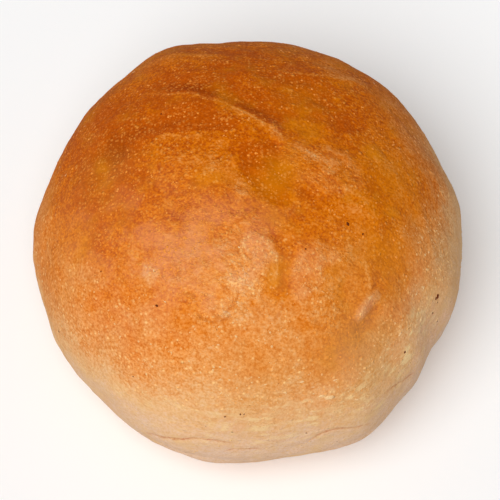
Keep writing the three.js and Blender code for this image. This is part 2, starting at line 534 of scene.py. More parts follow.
def directions(bearing, reach):
    """Unit vectors at bearings and reaches in degrees: (sin reach cos bearing, sin reach sin
    bearing, cos reach)."""
    bearing = np.radians(bearing)
    reach = np.radians(reach)
    level = np.sin(reach)
    return np.stack([level * np.cos(bearing), level * np.sin(bearing), np.cos(reach)], axis=-1)


def along_path(path):
    """The directions of a path's or an outline's (bearing, reach) places."""
    return directions(*np.array(path).T)


def bell(offset, half_width):
    """A bell curve that is 1 in the middle and 1/e at its half width."""
    return np.exp(-((offset / half_width) ** 2))


def eased(value, low, high):
    """A smooth step from 0 at low to 1 at high: 3 t^2 - 2 t^3."""
    share = np.clip((value - low) / (high - low), 0, 1)
    return share * share * (3 - 2 * share)


def spread(toward, places):
    """A sum of bells, each at a (bearing, reach) place with its own strength and half width in mm."""
    total = np.zeros(len(toward))
    for bearing, reach, strength, half_width in places:
        away = np.linalg.norm(directions(bearing, reach) - toward, axis=1) * FOLD_SCALE
        total += strength * bell(away, half_width)
    return total


def arc_points(path):
    """Points on the unit sphere along a quadratic curve through the path's three directions."""
    start, middle, end = path
    control = 2 * middle - (start + end) / 2
    share = np.linspace(0, 1, FOLD_STEPS + 1)[:, None]
    return unit((1 - share) ** 2 * start + 2 * share * (1 - share) * control + share**2 * end)


def near_arc(toward, path, margin):
    """Which directions lie within margin mm of the cap that holds an arc, and for those: their
    distance in mm from the arc, how far along it they are from 0 to 1, and whether they are left
    of someone who walks along it."""
    middle = path.sum(axis=0) / np.linalg.norm(path.sum(axis=0))
    cap = math.acos(min(1.0, float((path @ middle).min()))) + margin / FOLD_SCALE
    chosen = np.flatnonzero(toward @ middle > math.cos(min(cap, math.pi)))
    close = toward[chosen]
    away = np.full(len(close), np.inf)
    along = np.zeros(len(close))
    left = np.zeros(len(close), bool)
    points = arc_points(path)
    for step in range(FOLD_STEPS):
        start = points[step]
        end = points[step + 1]
        stretch = end - start
        share = np.clip((close - start) @ stretch / (stretch @ stretch), 0, 1)
        distance = np.linalg.norm(start + share[:, None] * stretch - close, axis=1)
        nearer = distance < away
        away[nearer] = distance[nearer]
        along[nearer] = (step + share[nearer]) / FOLD_STEPS
        left[nearer] = (close @ np.cross(start, end) > 0)[nearer]
    return chosen, away * FOLD_SCALE, along, left


BELL_REACH = 2.5  # half widths from the middle of a bell past which it is too low to matter


def dying_out(along):
    """How much is left of a fold or line towards its ends: 1 - m^4, with m from -1 to 1 along it."""
    return 1 - (2 * along - 1) ** 4


def fold_relief(toward, path, lift, left_width, right_width):
    """The lift in mm of one fold: a bell across its arc, with its own width on each side, that dies
    out towards both ends."""
    relief = np.zeros(len(toward))
    chosen, away, along, left = near_arc(toward, path, BELL_REACH * max(left_width, right_width))
    width = np.where(left, left_width, right_width)
    relief[chosen] = lift * bell(away, width) * dying_out(along)
    return relief


TONE_REACH = 4  # widths of a fold past which its browning is too faint to matter
CREST_WIDTH = 0.3  # of the paler line along a fold, as a share of the fold's width
SHADE_WIDTH = 1.6  # of the browner band beside it
SHADE_PEAK = math.sqrt(2 * math.e)  # brings s exp(-s^2) to 1 at its most


def fold_tone(toward, fold):
    """The browning of one fold, partly the crust's own and partly painted light: a bell of less along
    its arc, a painted highlight on the crest, and on its left a band of more, painted shade beside
    the fold, which is s exp(-s^2) brought to 1 at its most, where s is the distance as a share of
    the band's width."""
    tone = np.zeros(len(toward))
    margin = TONE_REACH * max(fold.left, fold.right)
    chosen, away, along, left = near_arc(toward, along_path(fold.path), margin)
    side = away / (SHADE_WIDTH * fold.left)
    browner = np.where(left, SHADE_PEAK * side * np.exp(-(side**2)), 0)
    paler = bell(away, CREST_WIDTH * np.where(left, fold.left, fold.right))
    tone[chosen] = (fold.shade * browner - fold.crest * paler) * dying_out(along)
    return tone


def crease_lines(toward):
    """How far in mm each direction lies left of the nearest crease, below zero right of it, and how
    strongly that crease shows there, as painted shade, or below zero as a painted highlight."""
    side = np.zeros(len(toward))
    tone = np.zeros(len(toward))
    nearest = np.full(len(toward), np.inf)
    for path, _, strength in CREASES:
        chosen, away, along, left = near_arc(toward, along_path(path), 2 * CREASE_REACH)
        nearer = away < nearest[chosen]
        away = away[nearer]
        chosen = chosen[nearer]
        nearest[chosen] = away
        side[chosen] = np.where(left[nearer], away, -away)
        tone[chosen] = strength * dying_out(along[nearer]) * bell(away, CREASE_REACH)
    return side, tone


def flat_map(toward):
    """Places on a flat map in mm: each lies away from the map's middle by its reach, in the
    direction of its bearing."""
    reach = np.arccos(np.clip(toward[:, 2], -1, 1))
    level = np.maximum(np.hypot(toward[:, 0], toward[:, 1]), 1e-9)
    return toward[:, :2] * (reach / level * FOLD_SCALE)[:, None]


def patch_cover(toward, outline, edge):
    """How much a patch covers each direction, from 0 to 1. It is a smooth step of the distance
    inside its outline on the flat map, which noise moves in and out. A place is inside where a line
    from it to one side crosses the outline an odd number of times."""
    places = flat_map(toward)
    corners = flat_map(along_path(outline))
    away = np.full(len(places), np.inf)
    inside = np.zeros(len(places), bool)
    for start, end in zip(corners, np.roll(corners, -1, axis=0)):
        stretch = end - start
        share = np.clip((places - start) @ stretch / (stretch @ stretch), 0, 1)
        away = np.minimum(away, np.linalg.norm(start + share[:, None] * stretch - places, axis=1))
        spans = (start[1] > places[:, 1]) != (end[1] > places[:, 1])
        crossing = start[0] + (places[:, 1] - start[1]) * stretch[0] / (stretch[1] or 1e-9)
        inside ^= spans & (places[:, 0] < crossing)
    ragged = PATCH_RAGGEDNESS * edge * layered_noise(toward, PATCH_TEARS, seed=41)
    depth = np.where(inside, away, -away) + ragged
    return eased(depth, -edge, edge)


def patch_sum(toward, quality):
    """The sum of one quality of all patches, each as far as the patch covers a direction."""
    return sum(
        getattr(patch, quality) * patch_cover(toward, patch.outline, patch.edge)
        for patch in PATCHES
        if getattr(patch, quality)
    )


def waves(toward):
    """The sum of plain waves in mm. Their directions turn by the golden angle as they come down
    from pole to pole in even steps."""
    relief = np.zeros(len(toward))
    height = FIRST_WAVE_HEIGHT
    turns = FIRST_WAVE_TURNS
    for step in range(WAVE_COUNT):
        rise = 1 - (2 * step + 1) / WAVE_COUNT
        level = math.sqrt(1 - rise * rise)
        turned = GOLDEN_ANGLE * step
        wave = np.array([math.cos(turned) * level, math.sin(turned) * level, rise])
        relief += height * np.sin(turns * (toward @ wave) + GOLDEN_ANGLE * step)
        height *= WAVE_HEIGHT_RATIO
        turns *= WAVE_TURNS_RATIO
    return relief


LATTICE = 64  # cubes after which noise repeats


def lattice_noise(points, seed):
    """Smooth noise from -1 to 1: random values on a lattice of unit cubes, blended by a smooth step
    along each axis."""
    values = np.random.default_rng(seed).uniform(-1, 1, (LATTICE, LATTICE, LATTICE))
    cell = np.floor(points).astype(int)
    share = eased(points - cell, 0, 1)
    total = np.zeros(len(points))
    for corner in np.ndindex(2, 2, 2):
        weight = np.prod(np.where(corner, share, 1 - share), axis=1)
        x, y, z = ((cell + corner) % LATTICE).T
        total += weight * values[x, y, z]
    return total


def layered_noise(toward, sizes, seed):
    """Noise on the crust in layers of these sizes in mm, the first from -1 to 1 and each later one
    half as strong as the one before."""
    relief = np.zeros(len(toward))
    for layer, size in enumerate(sizes):
        relief += 0.5**layer * lattice_noise(toward * FOLD_SCALE / size, seed + layer)
    return relief


# Noise that moves folds and creases off their even arcs: distance and size in mm, and first seed.
WANDERINGS = ((0.55, 7.0, 61), (0.3, 2.5, 64))


def wandered(toward):
    """The directions after noise has moved each by up to about a millimetre."""
    moved = np.zeros_like(toward)
    for distance, size, seed in WANDERINGS:
        for axis in range(3):
            moved[:, axis] += distance * layered_noise(toward, [size], seed + axis)
    return unit(toward + moved / FOLD_SCALE)


BREAK_STRENGTH = 0.45
BREAK_SIZE = 5.0  # mm
BREAK_RANGE = (0.5, 1.3)


def broken(toward):
    """How much of a fold is there: noise makes it weaken and come back every few mm."""
    return np.clip(1 + BREAK_STRENGTH * layered_noise(toward, [BREAK_SIZE], seed=67), *BREAK_RANGE)


CRUMPLE_SIZES = (7.0, 3.2, 1.5)  # mm, of the noise that crumples the crust

# The finest wrinkles. They curve round a place on the roll's front, as the folds do.
WRINKLE_CENTRE = (262, 30)  # bearing and reach of that place
WRINKLE_RINGS = (12, 92)  # degrees from that place
WRINKLE_TURNS = (-0.25, math.pi + 0.25)  # radians round that place, from its east over its north
WRINKLE_HALF_LENGTHS = (3, 9)  # mm
WRINKLE_SLANT = 0.05  # radians off its ring at each end, on average
WRINKLE_SHAKE = 0.01  # radians that each of its points is off, on average
WRINKLE_LIFTS = (0.4, 1)
GROOVE_SHARE = 0.35  # of the wrinkles sink, and the others rise
STEEP_WIDTHS = (0.5, 0.9)  # mm, of a wrinkle's left side
GENTLE_TIMES = (1, 2.5)  # how many times as wide its right side is


def wrinkle_paths(count):
    """Short arcs over the dome. Each keeps its own angle from one place, apart from its slant."""
    random = np.random.default_rng(29)
    centre = directions(*WRINKLE_CENTRE)
    east = np.cross([0, 0, 1], centre)
    east /= np.linalg.norm(east)
    north = np.cross(centre, east)
    paths = []
    for _ in range(count):
        ring = math.radians(random.uniform(*WRINKLE_RINGS))
        turn = random.uniform(*WRINKLE_TURNS)
        half_turn = random.uniform(*WRINKLE_HALF_LENGTHS) / FOLD_SCALE / math.sin(ring)
        slant = random.normal(0, WRINKLE_SLANT)
        share = np.array([-1, 0, 1])[:, None]
        angle = turn + share * half_turn
        rim = ring + share * slant + random.normal(0, WRINKLE_SHAKE, (3, 1))
        outward = np.cos(angle) * east + np.sin(angle) * north
        paths.append(np.cos(rim) * centre + np.sin(rim) * outward)
    return paths


def wrinkles(toward, count):
    """The finest wrinkles from -1 to 1: narrow ridges and grooves along short arcs."""
    random = np.random.default_rng(31)
    relief = np.zeros(len(toward))
    for path in wrinkle_paths(count):
        sign = (-1, 1)
        lift = random.uniform(*WRINKLE_LIFTS) * random.choice(sign, p=(GROOVE_SHARE, 1 - GROOVE_SHARE))
        steep = random.uniform(*STEEP_WIDTHS)
        gentle = steep * random.uniform(*GENTLE_TIMES)
        relief += fold_relief(toward, path, lift, steep, gentle)
    return relief


def rim_swell(bearing):
    """How far in mm the rim stands out at a bearing in radians: a sum of bells."""
    swell = np.zeros_like(bearing)
    for at, half_width, out in RIM_SWELLS:
        off = (np.degrees(bearing) - at + 180) % 360 - 180
        swell += out * bell(off, half_width)
    return swell


def shell_distance(toward, sizes):
    """The distance in mm from the heart to the smooth shell: a superellipse on the plan oval,
    ((level / plan)^p + (|up| / high)^p)^(-1/p), with its own p and high above and below."""
    bearing = np.arctan2(toward[:, 1], toward[:, 0])
    level = np.hypot(toward[:, 0], toward[:, 1])
    turned = bearing - sizes.long_axis_bearing
    half_length = sizes.length / 2 / MM
    half_across = sizes.across / 2 / MM
    plan = 1 / np.hypot(np.cos(turned) / half_length, np.sin(turned) / half_across)
    plan += rim_swell(bearing) * level**2
    above = toward[:, 2] >= 0
    power = np.where(above, sizes.dome_fullness, sizes.flank_fullness)
    high = np.where(above, sizes.height - sizes.waist_height, sizes.under_depth) / MM
    return ((level / plan) ** power + (np.abs(toward[:, 2]) / high) ** power) ** (-1 / power)


def crust_relief(toward, sizes):
    """All relief in mm over the smooth shell: folds, waves, dents, creases, patches, crumples and
    wrinkles."""
    relief = np.zeros(len(toward))
    uneven = wandered(toward)
    for fold in FOLDS:
        relief += fold_relief(uneven, along_path(fold.path), fold.lift, fold.left, fold.right)
    relief *= broken(toward)
    relief += waves(toward)
    relief += spread(toward, DENTS)
    for path, depth, _ in CREASES:
        path = along_path(path)
        relief += fold_relief(uneven, path, -depth, CREASE_HALF_WIDTH, CREASE_HALF_WIDTH)
        relief += fold_relief(uneven, path, depth / 2, LEFT_LIP, RIGHT_LIP)
    relief += patch_sum(toward, "lift")
    relief += sizes.crumple_height / MM * layered_noise(toward, CRUMPLE_SIZES, seed=11)
    relief += sizes.wrinkle_height / MM * wrinkles(uneven, sizes.wrinkle_count)
    return relief


def crust_points(toward, sizes):
    """Points of the crust in metres, and its relief in mm. The tray brings heights below it up to
    zero, and a rounded turn leads from the flank into the foot."""
    relief = crust_relief(toward, sizes)
    distance = shell_distance(toward, sizes) + relief
    points = toward * distance[:, None]
    height = points[:, 2] + sizes.waist_height / MM
    rounding = sizes.foot_rounding / MM
    near = np.maximum(rounding - np.abs(height), 0) / rounding
    points[:, 1] += HEART_Y
    points[:, 2] = np.maximum(height, 0) + near**2 * rounding / 4
    return points * MM, relief


NORMAL_STEP = 0.01  # radians at the heart between the points that a normal is measured from


def crust_normals(toward, sizes):
    """Outward unit normals of the crust, from two neighbouring points of each."""
    aside = unit(np.cross(toward, [0.0, 0.0, 1.0]))
    onward = np.cross(toward, aside)
    here = crust_points(toward, sizes)[0]
    beside = crust_points(unit(toward + NORMAL_STEP * aside), sizes)[0]
    ahead = crust_points(unit(toward + NORMAL_STEP * onward), sizes)[0]
    return unit(np.cross(beside - here, ahead - here))


def blown_cube(cells):
    """Directions and quads of a cube of even cells blown up into a ball. On one side of the cube u
    and v run from -1 to 1, and (tan 45u, tan 45v, 1), in degrees, is brought to length one. The
    other five sides are that side turned, and the vertices that sides share are merged."""
    step = np.tan(np.linspace(-1, 1, cells + 1) * math.pi / 4)
    u, v = np.meshgrid(step, step, indexing="ij")
    top = np.stack([u, v, np.ones_like(u)], axis=-1).reshape(-1, 3)
    bottom = top[:, [1, 0, 2]] * (1, 1, -1)
    turns = ([0, 1, 2], [2, 0, 1], [1, 2, 0])
    sides = [half[:, turn] for half in (top, bottom) for turn in turns]
    index = np.arange((cells + 1) ** 2).reshape(cells + 1, cells + 1)
    quads = np.stack([index[:-1, :-1], index[1:, :-1], index[1:, 1:], index[:-1, 1:]], axis=-1)
    quads = quads.reshape(-1, 4)
    corners = np.concatenate(sides)
    faces = np.concatenate([quads + number * len(top) for number in range(len(sides))])
    rounded, merged = np.unique(np.round(corners, 7), axis=0, return_inverse=True)
    return unit(rounded), merged.reshape(-1)[faces]


def blurred(values, quads, rounds):
    """The values after each vertex has gone halfway to the mean of its neighbours, rounds times."""
    start = quads.reshape(-1)
    end = np.roll(quads, -1, axis=1).reshape(-1)
    count = np.bincount(start, minlength=len(values))
    for _ in range(rounds):
        around = np.bincount(start, weights=values[end], minlength=len(values)) / count
        values = (values + around) / 2
    return values


# How far the crust has browned

BROWNING_HEIGHT = 38.0  # mm, where the crust is half browned, on average round the roll
BROWNING_SWING = 10.4  # mm, how much higher that is on the front than at the back
BROWNING_BEARING = 300  # where it is highest
BROWNING_SOFTNESS = 9.5  # mm
BROWNING_TURN = 2.5  # how sharply the height swings over, going from back to front
BROWNING_LEAN = 0.15  # how far in front of the axis it does so, as a share of the roll's radius
FOOT_BROWNING = 0.74
FOOT_HEIGHTS = (0.2, 2.5)  # mm, between which the foot's browning gives way to the flank's
UNDER_BROWNING = 0.24  # more low on the flank, near the hot tray
UNDER_HEIGHTS = (3, 20)  # mm, between which that dies out
# Painted shade: the crust is browner where it lies under its own surroundings.
HOLLOW_PAINTED_SHADE = 0.4  # for each mm that the crust lies under its own surroundings
HOLLOW_LEVELS = (0.1, 0.6)  # of browning, between which hollows come to show
HOLLOW_ROUNDS = 40  # of blurring, that make the surroundings


def baking(points):
    """How brown the heat alone makes the crust, from 0 to 1: a soft step in height whose middle
    swings from front to back."""
    across, along, height = points.T / MM
    bearing = math.radians(BROWNING_BEARING)
    front = (across * math.cos(bearing) + along * math.sin(bearing)) / across.max()
    middle = BROWNING_HEIGHT + BROWNING_SWING * np.tanh(BROWNING_TURN * (front - BROWNING_LEAN))
    return 1 / (1 + np.exp((middle - height) / BROWNING_SOFTNESS))


def browning(toward, points, relief, quads):
    """How brown the crust is: 0 hardly baked, 1 deep brown. It is the baking, plus the tones of
    folds, places and patches, some of which are painted highlight and painted shade. Hollows are
    browner, which is painted shade, and the foot is evenly baked."""
    level = baking(points)
    uneven = wandered(toward)
    level += broken(toward) * sum(fold_tone(uneven, fold) for fold in FOLDS)
    level += spread(toward, TONES)
    level += patch_sum(toward, "tone")
    # Painted shade in the hollows.
    sunk = blurred(relief, quads, HOLLOW_ROUNDS) - relief
    level += HOLLOW_PAINTED_SHADE * sunk * eased(level, *HOLLOW_LEVELS)
    height = points[:, 2] / MM
    level += UNDER_BROWNING * (1 - eased(height, *UNDER_HEIGHTS))
    foot = 1 - eased(height, *FOOT_HEIGHTS)
    return level + (FOOT_BROWNING - level) * foot


# Meshes


def add_piece(name, points, faces):
    """A smooth-shaded mesh object at the origin, made from whole arrays."""
    mesh = bpy.data.meshes.new(name)
    mesh.from_pydata(points.tolist(), [], faces.tolist())
    mesh.polygons.foreach_set("use_smooth", np.ones(len(faces), bool))
    mesh.update()
    piece = bpy.data.objects.new(name, mesh)
    bpy.context.scene.collection.objects.link(piece)
    return piece


def add_attribute(piece, name, values):
    """A number for each vertex, which the material reads by name."""
    layer = piece.data.attributes.new(name, "FLOAT", "POINT")
    layer.data.foreach_set("value", values.astype(np.float32))


def ball(sides, rings):
    """Points and triangles of a closed unit ball with one vertex at each pole. Point (i, j) between
    the poles is (sin a cos b, sin a sin b, cos a), with a = i pi / rings and b = 2 pi j / sides."""
    down = np.arange(1, rings)[:, None] * 180 / rings
    round_angle = np.arange(sides)[None, :] * 360 / sides
    middle = directions(*np.broadcast_arrays(round_angle, down)).reshape(-1, 3)
    points = np.concatenate([[[0, 0, 1]], middle, [[0, 0, -1]]])
    index = 1 + np.arange((rings - 1) * sides).reshape(rings - 1, sides)
    beside = np.roll(index, -1, axis=1)
    top = np.stack([np.zeros(sides, int), index[0], beside[0]], axis=-1)
    bottom = np.stack([np.full(sides, len(points) - 1), beside[-1], index[-1]], axis=-1)
    upper = np.stack([index[:-1], index[1:], beside[1:]], axis=-1).reshape(-1, 3)
    lower = np.stack([index[:-1], beside[1:], beside[:-1]], axis=-1).reshape(-1, 3)
    return points, np.concatenate([top, upper, lower, bottom])


LUMP_SIDES = 9
LUMP_RINGS = 4
LUMPINESS = (0.8, 1.2)  # how many times its even length each radius of a lump is


def scatter(name, toward, lengths, widths, heights, turn, sink, sizes, seed):
    """One mesh of small lumpy domes that sit on the crust, one in each direction. A dome is a ball
    stretched to half its length, width and height, turned in the crust's plane away from level, with
    each radius changed at random, and sunk by a share of its half height."""
    random = np.random.default_rng(seed)
    shape, triangles = ball(LUMP_SIDES, LUMP_RINGS)
    count = len(toward)
    centres = crust_points(toward, sizes)[0]
    normals = crust_normals(toward, sizes)
    aside = unit(np.cross(normals, [0.0, 0.0, 1.0]))
    onward = np.cross(normals, aside)
    first = aside * np.cos(turn)[:, None] + onward * np.sin(turn)[:, None]
    frames = np.stack([first, np.cross(normals, first), normals], axis=1)
    lump = random.uniform(*LUMPINESS, (count, len(shape), 1))
    scaled = shape[None] * np.stack([lengths, widths, heights], axis=1)[:, None] * lump
    scaled[..., 2] -= sink * heights[:, None]
    points = centres[:, None] + scaled @ frames
    faces = triangles[None] + (np.arange(count) * len(shape))[:, None, None]
    return add_piece(name, points.reshape(-1, 3), faces.reshape(-1, 3))


# Materials


class Signal:
    """An output socket of a material's nodes, which arithmetic can be done on."""

    def __init__(self, finish, socket):
        self.finish = finish
        self.socket = socket

    def maths(self, operation, first, second):
        return self.finish.node("Math", {"operation": operation}, {0: first, 1: second})

    def __add__(self, other):
        return self.maths("ADD", self, other)

    def __radd__(self, other):
        return self.maths("ADD", other, self)

    def __sub__(self, other):
        return self.maths("SUBTRACT", self, other)

    def __rsub__(self, other):
        return self.maths("SUBTRACT", other, self)

    def __mul__(self, other):
        return self.maths("MULTIPLY", self, other)

    def __rmul__(self, other):
        return self.maths("MULTIPLY", other, self)

    def over(self, other):
        """1 where it is more than the other, and 0 elsewhere."""
        return self.maths("GREATER_THAN", self, other)


class Finish:
    """A material that is built node by node."""

    def __init__(self, name):
        self.material = bpy.data.materials.new(name)
        self.material.use_nodes = True
        self.tree = self.material.node_tree
        self.tree.nodes.clear()

    def node(self, kind, settings=None, sockets=None, output=0):
        """Adds a node, sets its settings, then its sockets, and returns one of its outputs."""
        made = self.tree.nodes.new("ShaderNode" + kind)
        for name, value in (settings or {}).items():
            if name == "stops":
                self.fill_ramp(made.color_ramp, value)
            else:
                setattr(made, name, value)
        for name, value in (sockets or {}).items():
            if isinstance(value, Signal):
                self.tree.links.new(value.socket, made.inputs[name])
            else:
                made.inputs[name].default_value = value
        return Signal(self, made.outputs[output]) if made.outputs else None

    def fill_ramp(self, ramp, stops):
        """Gives a colour ramp its stops, each a place from 0 to 1 and a linear colour."""
        while len(ramp.elements) < len(stops):
            ramp.elements.new(1)
        for element, (place, colour) in zip(ramp.elements, stops):
            element.position = place
            element.color = (*colour, 1)

    def attribute(self, name):
        """A number that the mesh holds for each vertex."""
        return self.node("Attribute", {"attribute_name": name}, output=2)

    def place(self, turn=(0, 0, 0), stretch=(1, 1, 1)):
        """Object coordinates in metres, turned and then squeezed along each axis."""
        here = self.node("TexCoord", output=3)
        return self.node(
            "Mapping",
            {"vector_type": "TEXTURE"},
            {"Vector": here, "Rotation": turn, "Scale": stretch},
        )

    def noise(self, vector, size, detail=2.0, roughness=0.5, distortion=0.0):
        """Noise from 0 to 1 whose largest features measure size metres."""
        sockets = {
            "Vector": vector,
            "Scale": 1 / size,
            "Detail": detail,
            "Roughness": roughness,
            "Distortion": distortion,
        }
        return self.node("TexNoise", {}, sockets)

    def step(self, value, low, high):
        """A smooth step of a value from 0 at low to 1 at high."""
        sockets = {"Value": value, "From Min": low, "From Max": high}
        return self.node("MapRange", {"interpolation_type": "SMOOTHSTEP"}, sockets)

    def lines(self, vector, size, width):
        """Crinkled lines from 0 to 1 where noise of size metres passes its middle value. They are as
        wide as it stays within width of that value, and other noise breaks them off."""
        off = self.noise(vector, size, detail=4, roughness=0.62) - 0.5
        there = self.step(self.noise(vector, 1.3 * size, detail=2), 0.42, 0.58)
        return (1 - self.step(off * off, 0, width * width)) * there

    def unsettled(self, vector, size, amount):
        """Coordinates that noise of size metres moves by up to amount metres."""
        sockets = {"Vector": vector, "Scale": 1 / size, "Detail": 1.0}
        drift = self.node("TexNoise", {}, sockets, output=1)
        drift = self.node("VectorMath", {"operation": "SUBTRACT"}, {0: drift, 1: (0.5, 0.5, 0.5)})
        drift = self.node("VectorMath", {"operation": "SCALE"}, {0: drift, "Scale": 2 * amount})
        return self.node("VectorMath", {"operation": "ADD"}, {0: vector, 1: drift})

    def spots(self, vector, spacing, radius, share):
        """Round soft spots, radius metres wide from the middle, about spacing metres apart. Only a
        share of the places where one could be has one, and each has its own strength."""
        sockets = {"Vector": vector, "Scale": 1 / spacing}
        away = self.node("TexVoronoi", {}, sockets)
        draw = self.node("TexVoronoi", {}, sockets, output=1)
        chance = self.node("SeparateColor", {}, {"Color": draw})
        strength = self.node("SeparateColor", {}, {"Color": draw}, output=1)
        spot = 1 - self.step(away, 0.3 * radius / spacing, radius / spacing)
        return spot * (share - chance).over(0) * (0.35 + 0.65 * strength)

    def mix(self, factor, first, second, blend="MIX"):
        """One colour mixed into another by a factor."""
        return self.node(
            "Mix",
            {"data_type": "RGBA", "blend_type": blend},
            {0: factor, 6: first, 7: second},
            output=2,
        )

    def bump(self, height, distance, normal=None):
        """The normal after a relief of distance metres for each unit of height is added to it."""
        sockets = {"Height": height, "Distance": distance}
        if normal:
            sockets["Normal"] = normal
        return self.node("Bump", {}, sockets)

    def surface(self, **sockets):
        """Ends the material in one Principled shader. An underscore stands for a space."""
        named = {name.replace("_", " "): value for name, value in sockets.items()}
        shader = self.node("BsdfPrincipled", {}, named)
        self.node("OutputMaterial", {}, {"Surface": shader})
        return self.material


def opaque(colour):
    """A colour property with full alpha, as a colour socket takes it."""
    return (*colour, 1)


# Spots on the crust: their spacing and radius, and the share of the places that have one.
GRAIN_SPOTS = (0.56 * MM, 0.27 * MM, 0.75)
FINE_BLISTER_SPOTS = (1.25 * MM, 0.42 * MM, 0.55)
BLISTER_SPOTS = (2.2 * MM, 0.52 * MM, 0.6)
# Glints are painted highlights.
GLINT_SPOTS = (0.9 * MM, 0.42 * MM, 0.5)
CHAR_SPOTS = (5.2 * MM, 0.2 * MM, 0.2)

# Where the crust's ramp reaches each of its colours.
BROWNING_STOPS = (("pale", 0.0), ("straw", 0.24), ("golden", 0.5), ("brown", 0.78), ("deep", 1.0))

# Browning between which things come in, or go where the name says so.
SCORCHING = (1.05, 1.8)
UNREST_COMES = (0.1, 0.55)
SHADE_COMES = (0.1, 0.5)
TAWNY_COMES = (0.55, 0.85)
WHEATEN_GOES = (0.1, 0.4)
GRAINS_COME = (0.12, 0.5)
BLISTER_SKIN_COMES = (0.45, 0.8)
GLINTS_COME = (0.05, 0.4)
GLINTS_DIM = (0.6, 0.9)
GLINTS_BROWN = (0.5, 0.9)
FLOUR_GOES = (0.2, 0.62)
CHAR_COMES = (0.7, 1)
SCATTERED_COME = (0.45, 0.85)


def crust_pattern(finish):
    """The numbers that the crust's colour and its relief share. Noise gives its mottling, flakes,
    crinkles and grain, and spots give its tiny blisters, floury grains and glints, which are
    painted highlights."""
    plain = finish.place()
    streaked = finish.place(turn=(0, 0, math.radians(-25)), stretch=(1.8, 1, 1))
    uneven = finish.unsettled(plain, 0.5 * MM, 0.14 * MM)
    browned = finish.attribute("browning")
    flaked = finish.attribute("flaking")
    gathered = finish.step(finish.noise(plain, 5 * MM, detail=2), 0.4, 0.6)
    grains = finish.spots(uneven, *GRAIN_SPOTS) * (0.35 + 0.35 * gathered + 0.4 * flaked)
    fine_blisters = finish.spots(uneven, *FINE_BLISTER_SPOTS) * (0.4 + 0.6 * gathered)
    blisters = finish.spots(uneven, *BLISTER_SPOTS)
    # Glints: painted highlights.
    glints = finish.spots(uneven, *GLINT_SPOTS) * (0.4 + 0.6 * gathered)
    glinting = finish.step(browned, *GLINTS_COME) - 0.45 * finish.step(browned, *GLINTS_DIM)
    return SimpleNamespace(
        plain=plain,
        browned=browned,
        flaked=flaked,
        gathered=gathered,
        clouds=finish.noise(plain, 9 * MM, detail=2),
        mottle=finish.noise(plain, 2.8 * MM, detail=4, roughness=0.72),
        flakes=finish.noise(streaked, 1.3 * MM, detail=3, roughness=0.75, distortion=0.4),
        grain=finish.noise(plain, 0.55 * MM, detail=1.5, roughness=0.6),
        crinkles=finish.lines(streaked, 1.9 * MM, 0.045) * (0.25 + 0.75 * flaked),
        paler=grains * 0.95 + fine_blisters * 0.7 + blisters * 0.75,
        glints=glints * glinting,
        raised=grains * 0.5 + glints * glinting * 0.7 + fine_blisters + blisters,
    )


def baked_colour(finish, colours, on):
    """The colour of the skin, with painted light in it. A ramp from pale to deep follows the browning
    that the mesh holds, unsettled by the pattern, and scorched lies past it. Painted shade in the
    hollows of the grain dims it, and in places it is tawny, wheaten, a duller yellow that is partly
    painted shade, or pink with painted sheen."""
    unrest = (on.clouds - 0.5) * 0.48 + (on.mottle - 0.5) * 0.42 + (0.5 - on.grain) * 0.45
    unrest = unrest - (on.flakes - 0.5) * (0.35 + 0.45 * on.flaked) - on.crinkles * 0.16
    level = on.browned + unrest * (0.45 + 0.55 * finish.step(on.browned, *UNREST_COMES))
    stops = [(place, getattr(colours, name)) for name, place in BROWNING_STOPS]
    colour = finish.node("ValToRGB", {"stops": stops}, {"Fac": level})
    colour = finish.mix(finish.step(level, *SCORCHING) * 0.8, colour, opaque(colours.scorched))
    # Painted shade in the hollows of the grain.
    grain_shade = 0.75 - finish.step(on.grain, 0.36, 0.6) * 0.45 - finish.step(on.flakes, 0.3, 0.6) * 0.3
    grain_shade = grain_shade * (0.45 + 0.55 * finish.step(on.browned, *SHADE_COMES))
    colour = finish.mix(grain_shade, colour, opaque(colours.shade), blend="MULTIPLY")
    patchy = finish.step(finish.noise(on.plain, 8 * MM, detail=3, roughness=0.6), 0.48, 0.7)
    tawny = patchy * finish.step(on.browned, *TAWNY_COMES) * 0.4 + finish.attribute("tawny")
    wheaten = patchy * (1 - finish.step(on.browned, *WHEATEN_GOES)) * 0.6
    sheen_patches = finish.step(finish.noise(on.plain, 6 * MM, detail=4), 0.4, 0.6)
    # Painted sheen, in patches.
    bloom = finish.attribute("bloom") * (0.5 + sheen_patches)
    for share, shade in (
        (tawny, colours.tawny),
        (wheaten, colours.wheaten),
        # Duller yellow, partly painted shade.
        (finish.attribute("dun"), colours.dun),
        (bloom, colours.bloom),
    ):
        colour = finish.mix(share, colour, opaque(shade))
    return colour


def skin_colour(finish, colours, browned):
    """Thin dry skin, from that on half browned crust to that on brown crust."""
    return finish.mix(
        finish.step(browned, *BLISTER_SKIN_COMES), opaque(colours.flake), opaque(colours.blister)
    )


def lined_share(finish, on):
    """How strongly creases show as painted shade, and below zero pale lines as painted highlights. Noise
    moves their sides and breaks them.
    """
    side = finish.attribute("crease_side") + (finish.noise(on.plain, 1.2 * MM, detail=3) - 0.5) * 1.2
    line = 1 - finish.step(side * side, 0.01, 0.16)
    return line * finish.attribute("crease_tone") * (0.3 + 0.7 * finish.step(on.grain, 0.35, 0.65))


